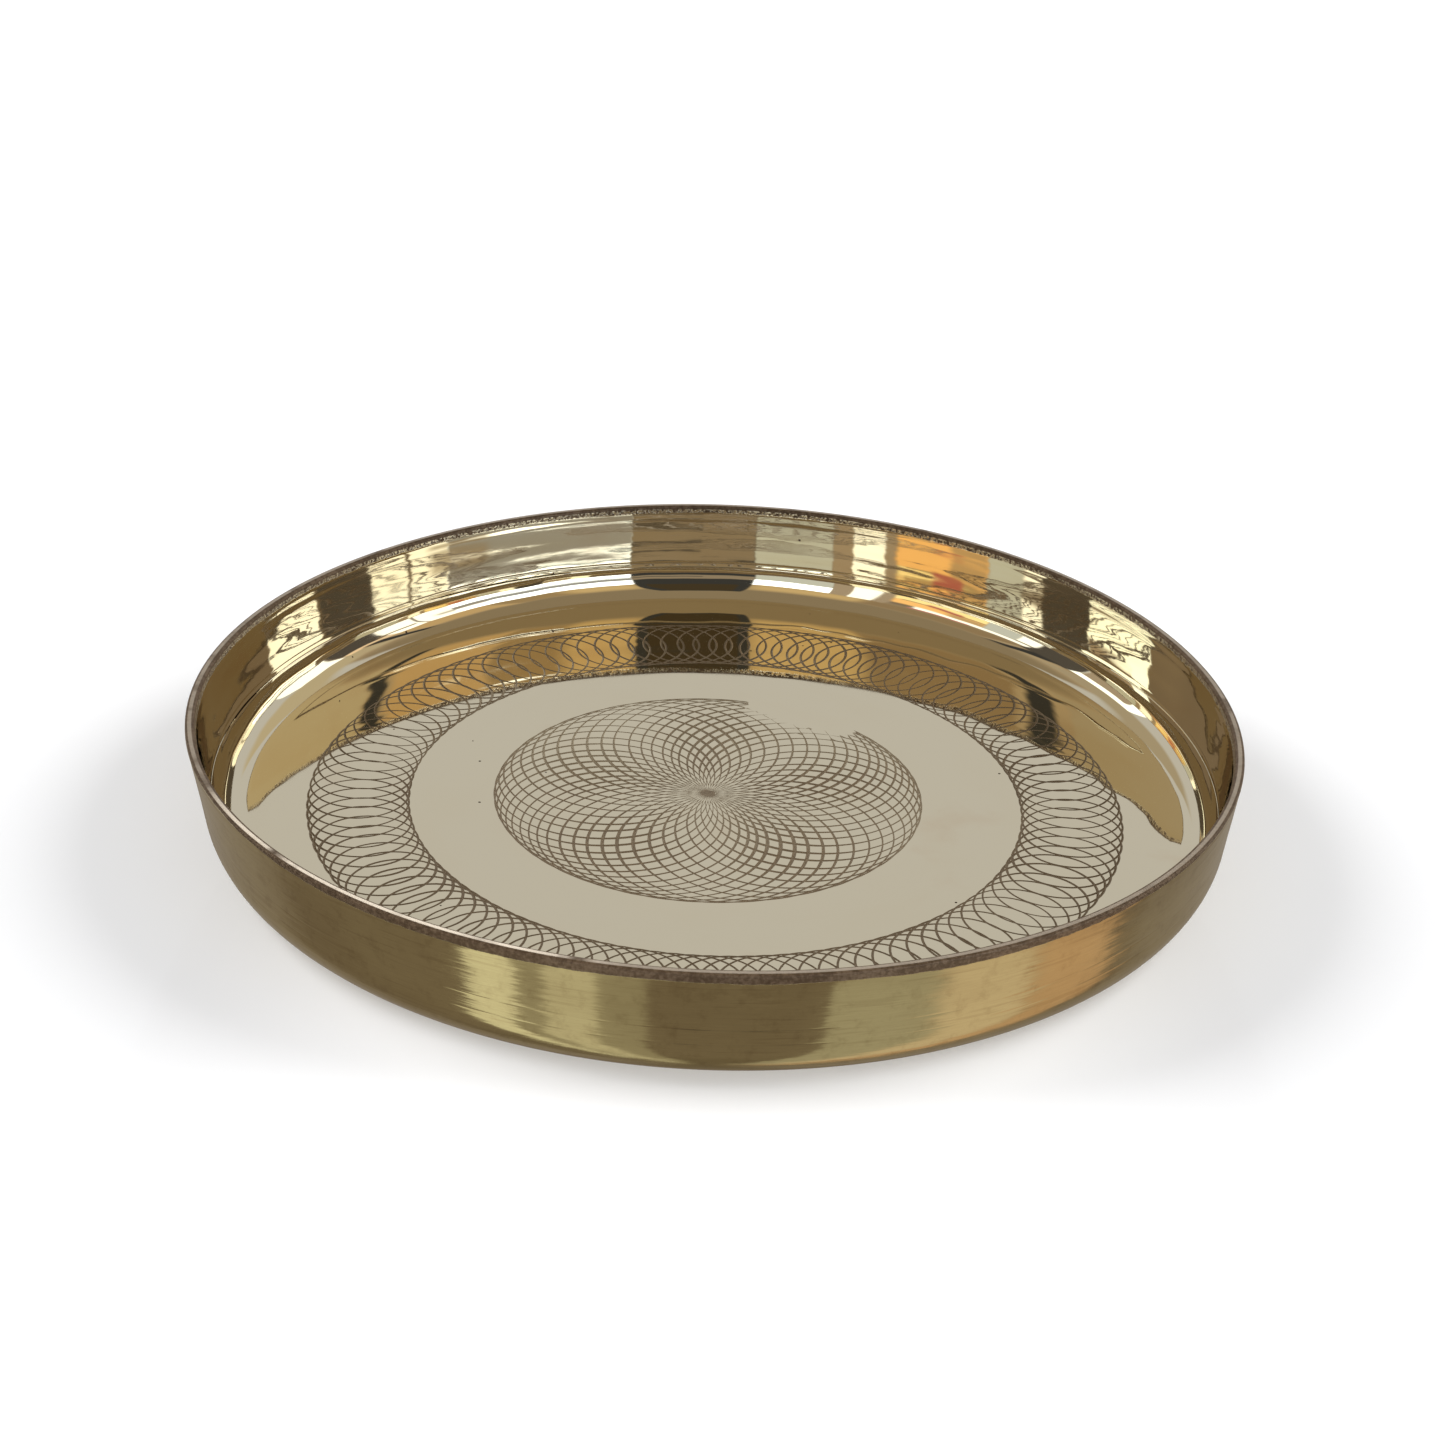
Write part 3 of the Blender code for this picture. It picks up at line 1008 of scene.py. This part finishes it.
# Each panel has its azimuth from and to, its elevation from and to, the softness of its edges
# (all in degrees) and its light. Azimuth 0 is behind the plate, 180 is the camera's side. Later
# panels lie in front of earlier ones.
PANELS = [
    (15, 79, 26, 44, 1.5, EAVES_FAR_LEFT),
    (54, 73, 2, 27, 0.5, DAYLIGHT),
    (88, 118, 28, 48, 2.0, EAVES_LEFT_BRIGHT),
    (118, 157, 28, 48, 2.0, EAVES_LEFT),
    (138, 157, 28, 48, 4.0, EAVES_NEAR),
    (74, 90, 22, 30, 0.6, EMBER),
    (74, 90, -4, 24, 0.6, DARK),
    (80, 86, 28, 50, 1.0, BLACK),
    (90, 100, 2, 30, 0.4, DAYLIGHT),
    (101, 111, 2, 30, 0.4, DAYLIGHT),
    (88, 99, 19.6, 22.4, 0.5, BROWN),
    (111, 157, 2, 29, 0.5, GLARE),
    (111, 157, 12.5, 18.3, 0.4, SHADE),
    (106, 121, 16.8, 20.2, 1.6, BROWN),
    (122, 157, 11.0, 12.0, 0.3, TEAL),
    (187, 262, 28, 48, 2.0, EAVES_RIGHT),
    (187, 218, 28, 48, 4.0, EAVES_NEAR),
    (187, 206, 15.7, 29, 0.4, GLARE),
    (187, 206, 2, 15.7, 0.4, CREAM),
    (206, 222, 2, 30, 0.4, TAN),
    (211, 219, 2, 30, 0.4, DAYLIGHT),
    (222, 246, 12, 20, 0.7, LAMPLIGHT),
    (222, 246, 2, 12, 0.7, LAMPLIGHT_LOW),
    (236, 246, 13, 20, 1.2, AMBER),
    (224, 246, 11.6, 12.4, 0.5, UMBER),
    (231, 239, 10, 13, 1.0, RED),
    (229, 262, 19.5, 25, 0.8, DAYLIGHT),
    (228, 244, 24.6, 27.0, 0.5, PINK),
    (246, 256, 2, 19, 0.6, CREAM),
    (256, 262, 2, 17, 0.6, DAYLIGHT),
    (262, 277, -4, 30, 0.6, DARK),
    (266, 275, 28, 50, 1.6, BLACK),
    (281, 345, 26, 44, 1.5, EAVES_FAR_RIGHT),
    (277, 299, 2, 27, 0.5, DAYLIGHT_RIGHT),
    (277, 292, 2, 17.8, 0.5, TAN),
    (157, 187, -30, 62, 0.5, BLACK),
    (160, 184, 32, 60, 0.5, FIGURE_HIGH),
    (157, 187, 9.5, 18, 0.4, FIGURE),
    (157, 174, 12.3, 13.7, 0.3, DARK),
    (15, 68, -80, -12, 6.0, FLOOR_SIDE),
    (292, 345, -80, -12, 6.0, FLOOR_SIDE),
    (194, 226, -86, -15, 1.5, FLOOR_MID),
    (205, 217, -86, -15, 1.2, FLOOR_PALE),
    (224, 236, -86, -15, 0.4, FLOOR_BRIGHT),
    (126, 153, -86, -15, 0.6, FLOOR_GREY),
    (100, 126, -86, -15, 3.0, FLOOR_WARM),
    (76, 100, -86, -15, 3.0, FLOOR_ORANGE),
]
BACKDROP = (1.0, 1.0, 1.0, 1.0)
GROUND_LIGHT = (0.30, 0.30, 0.31, 1.0)

# Where one tone of the room gives way to the next, as elevations in degrees
BELOW_FROM_UNDER = (-70.0, -55.0)
LOW_FROM_BELOW = (-3.0, 1.0)
EAVES_FROM_LOW = (18.0, 37.0)
BEHIND_FROM_LOW = (24.5, 27.5)
HIGH_FROM_EAVES = (40.0, 54.0)

# How far a direction has to point to the back of the room to be in its pale part
WIDENING = 0.3
PALE_ONCE = (0.58, 0.64)
PALE_TWICE = (0.80, 0.88)

# Ray depth at the studio is 2 after one mirror, 3 after two, and so on
ONE_MIRROR = 2.5
THREE_MIRRORS = (3.2, 3.8)
FOUR_MIRRORS = (4.5, 5.5)
DEPTH_SOFT = 0.1

DEGREES = 180.0 / math.pi


def room_colour(nodes, towards_back, elevation, once):
    """The room apart from its panels: pale behind the plate, golden brown above the camera.

    The pale part reaches further and lower where the metal mirrors it only once, as the cove does."""
    pale_twice = nodes.rise(towards_back, *PALE_TWICE)
    pale_once = nodes.math("MULTIPLY", nodes.rise(towards_back, *PALE_ONCE), once)
    pale = nodes.math("MAXIMUM", pale_twice, pale_once)
    upper = nodes.mix(nodes.rise(elevation, *HIGH_FROM_EAVES), ROOM_EAVES, ROOM_HIGH)
    upper = nodes.mix(nodes.rise(elevation, *EAVES_FROM_LOW), ROOM_LOW, upper)
    clear = nodes.math("MAXIMUM", nodes.rise(elevation, *BEHIND_FROM_LOW), once)
    behind = nodes.mix(clear, ROOM_LOW, ROOM_BEHIND)
    above = nodes.mix(pale, upper, behind)
    below = nodes.mix(nodes.rise(elevation, *BELOW_FROM_UNDER), ROOM_UNDER, ROOM_BELOW)
    return nodes.mix(nodes.rise(elevation, *LOW_FROM_BELOW), below, above)


def panels_over(nodes, colour, azimuth, elevation):
    """The colour with every panel laid over it in turn."""
    for first, last, low, high, soft, light in PANELS:
        sideways = nodes.window(azimuth, first, last, soft)
        upright = nodes.window(elevation, low, high, soft * 2)
        colour = nodes.mix(nodes.math("MULTIPLY", sideways, upright), colour, light)
    return colour


def make_world():
    """White for the camera, even light for the floor, and the studio's panels for the metal."""
    world = bpy.data.worlds.new("studio")
    bpy.context.scene.world = world
    world.use_nodes = True
    nodes = Nodes(world.node_tree)
    direction = nodes.new("ShaderNodeTexCoord").outputs["Generated"]
    parts = nodes.new("ShaderNodeSeparateXYZ")
    nodes.feed(parts.inputs[0], direction)
    x, y, z = parts.outputs
    turn = nodes.math("MULTIPLY", nodes.math("ARCTAN2", x, y), DEGREES)
    azimuth = nodes.math("WRAP", turn, 360.0, 0.0)
    elevation = nodes.math("MULTIPLY", nodes.math("ARCSINE", z), DEGREES)
    towards_back = nodes.math("MULTIPLY_ADD", nodes.math("ABSOLUTE", x), WIDENING, y)
    path = nodes.new("ShaderNodeLightPath")
    depth = path.outputs["Ray Depth"]
    once = nodes.math("LESS_THAN", depth, ONE_MIRROR)
    colour = room_colour(nodes, towards_back, elevation, once)
    colour = panels_over(nodes, colour, azimuth, elevation)
    colour = nodes.mix(nodes.rise(depth, *THREE_MIRRORS), colour, ROOM_DEEP)
    colour = nodes.mix(nodes.window(depth, *FOUR_MIRRORS, DEPTH_SOFT), colour, CORNER_SHADE)
    seen = nodes.mix(path.outputs["Is Diffuse Ray"], colour, GROUND_LIGHT)
    seen = nodes.mix(path.outputs["Is Camera Ray"], seen, BACKDROP)
    background = nodes.new("ShaderNodeBackground")
    nodes.feed(background.inputs["Color"], seen)
    output = nodes.new("ShaderNodeOutputWorld")
    nodes.feed(output.inputs["Surface"], background.outputs[0])


def make_side_light(name, azimuth):
    """A soft low light from one side that the metal does not mirror, for the shadow on the floor."""
    data = bpy.data.lights.new(name, "SUN")
    data.energy = SIDE_LIGHT
    data.angle = SIDE_LIGHT_SPREAD
    lamp = bpy.data.objects.new(name, data)
    bpy.context.scene.collection.objects.link(lamp)
    level = math.cos(SIDE_LIGHT_ELEVATION)
    source = Vector((math.sin(azimuth) * level, math.cos(azimuth) * level, math.sin(SIDE_LIGHT_ELEVATION)))
    lamp.rotation_euler = (-source).to_track_quat("-Z", "Y").to_euler()
    lamp.visible_glossy = False


def make_front_light():
    """A soft spot on the floor in front of the plate, so that the shadow stays at its two sides."""
    data = bpy.data.lights.new("front_light", "SPOT")
    data.energy = FRONT_LIGHT
    data.spot_size = FRONT_LIGHT_CONE
    data.spot_blend = 1.0
    lamp = bpy.data.objects.new("front_light", data)
    bpy.context.scene.collection.objects.link(lamp)
    lamp.location = FRONT_LIGHT_PLACE
    lamp.rotation_euler = (FRONT_LIGHT_AIM - FRONT_LIGHT_PLACE).to_track_quat("-Z", "Y").to_euler()
    lamp.visible_glossy = False


make_plate()
make_ground()
make_world()
make_side_light("left_light", -SIDE_LIGHT_AZIMUTH)
make_side_light("right_light", SIDE_LIGHT_AZIMUTH)
make_front_light()
make_camera()
bpy.context.scene.view_settings.view_transform = "Standard"
